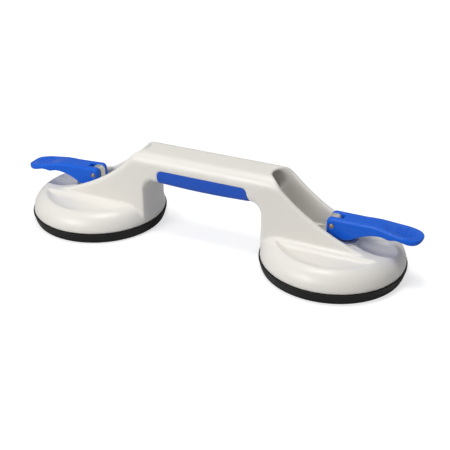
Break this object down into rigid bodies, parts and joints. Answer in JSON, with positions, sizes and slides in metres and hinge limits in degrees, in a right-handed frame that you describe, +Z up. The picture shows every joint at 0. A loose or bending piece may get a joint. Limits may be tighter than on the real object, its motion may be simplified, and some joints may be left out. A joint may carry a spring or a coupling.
{
  "type": "suction lifter",
  "caption": "Hand-held suction lifter for floor tiles: an arched handle joins round rubber pads, and a cam lever over each pad sets or frees the vacuum.",
  "frame": {"origin": "on the floor, midway between the two pads' axes", "axes": "+X along the handle towards the right pad, +Z up away from the tile"},
  "size_m": [0.3692, 0.122, 0.0765],
  "materials": {
    "body_plastic": "satin moulded light grey",
    "grip_plastic": "satin blue",
    "lever_plastic": "semi-gloss blue",
    "rubber": "matt black",
    "bronzed_steel": "dark bronze",
    "zinc_plated_steel": "satin zinc",
    "bush_plastic": "natural acetal",
    "spring_steel": "oiled spring steel"
  },
  "bodies": {
    "housing": {"body_housing": "body_plastic", "grip_insert": "grip_plastic", "rubber_pad_right": "rubber", "guide_bush_right": "bush_plastic", "thrust_plate_right": "zinc_plated_steel", "return_spring_right": "spring_steel", "rubber_pad_left": "rubber", "guide_bush_left": "bush_plastic", "thrust_plate_left": "zinc_plated_steel", "return_spring_left": "spring_steel"},
    "stem_right": {"pad_plate_right": "zinc_plated_steel", "pull_stud_right": "zinc_plated_steel", "lock_nut_right": "zinc_plated_steel", "pull_eye_right": "zinc_plated_steel"},
    "lever_right_body": {"lever_right": "lever_plastic", "lever_pin_right": "bronzed_steel"},
    "stem_left": {"pad_plate_left": "zinc_plated_steel", "pull_stud_left": "zinc_plated_steel", "lock_nut_left": "zinc_plated_steel", "pull_eye_left": "zinc_plated_steel"},
    "lever_left_body": {"lever_left": "lever_plastic", "lever_pin_left": "bronzed_steel"}
  },
  "joints": [
    {"name": "stem_slide_right", "type": "slide", "parent": "housing", "child": "stem_right", "axis": [0, 0, -1], "range_m": [0, 0.00651], "deforming": ["rubber_pad_right", "return_spring_right"]},
    {"name": "lever_hinge_right", "type": "hinge", "parent": "stem_right", "child": "lever_right_body", "pos_m": [0.1125, 0, 0.0417], "axis": [0, -1, 0], "range_deg": [0, 90]},
    {"name": "stem_slide_left", "type": "slide", "parent": "housing", "child": "stem_left", "axis": [0, 0, -1], "range_m": [0, 0.00651], "deforming": ["rubber_pad_left", "return_spring_left"]},
    {"name": "lever_hinge_left", "type": "hinge", "parent": "stem_left", "child": "lever_left_body", "pos_m": [-0.1125, 0, 0.0417], "axis": [0, 1, 0], "range_deg": [0, 90]}
  ],
  "couplings": [
    {"joint": "stem_slide_right", "follows": "lever_hinge_right", "m_per_rad": 0.004138},
    {"joint": "stem_slide_left", "follows": "lever_hinge_left", "m_per_rad": 0.004138}
  ]
}
